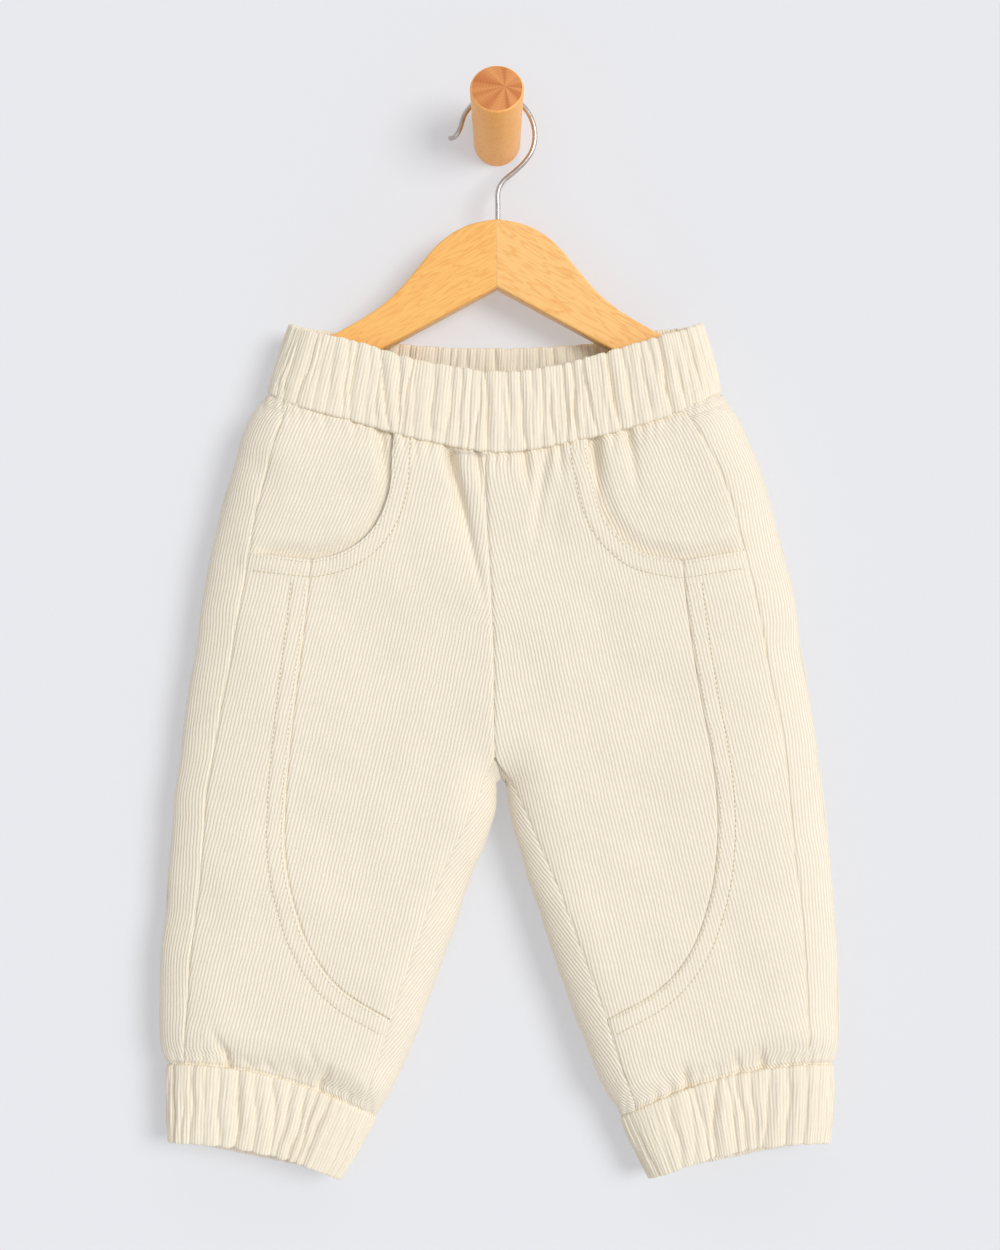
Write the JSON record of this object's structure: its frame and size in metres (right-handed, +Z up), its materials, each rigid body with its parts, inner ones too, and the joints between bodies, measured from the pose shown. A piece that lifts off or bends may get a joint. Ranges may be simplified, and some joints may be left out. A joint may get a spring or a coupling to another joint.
{
  "type": "corduroy trousers on a wooden hanger and wall peg",
  "caption": "Toddler's pull-on corduroy trousers with gathered waistband and cuffs, hung by the waistband on a small wooden hanger over a round wall peg.",
  "frame": {"origin": "centre of the wall peg's flat back face, in the wall's plane", "axes": "+X to the viewer's right across the garment, +Y into the wall, +Z up"},
  "size_m": [0.3452, 0.0514, 0.5589],
  "materials": {
    "cloth": "cream fine-wale cotton corduroy",
    "band_cloth": "cream corduroy gathered over elastic",
    "hanger_wood": "clear varnished pale wood",
    "peg_wood": "smooth oiled wood",
    "steel": "plated steel wire"
  },
  "bodies": {
    "root": {"waistband": "band_cloth", "front_centre_left": "cloth", "front_centre_right": "cloth", "front_side_left": "cloth", "front_side_right": "cloth", "pocket_facing_left": "cloth", "pocket_facing_right": "cloth", "back_left": "cloth", "back_right": "cloth", "cuff_left": "band_cloth", "cuff_right": "band_cloth", "hanger_arm_left": "hanger_wood", "hanger_arm_right": "hanger_wood", "hanger_hook": "steel", "wall_peg": "peg_wood"}
  },
  "joints": []
}
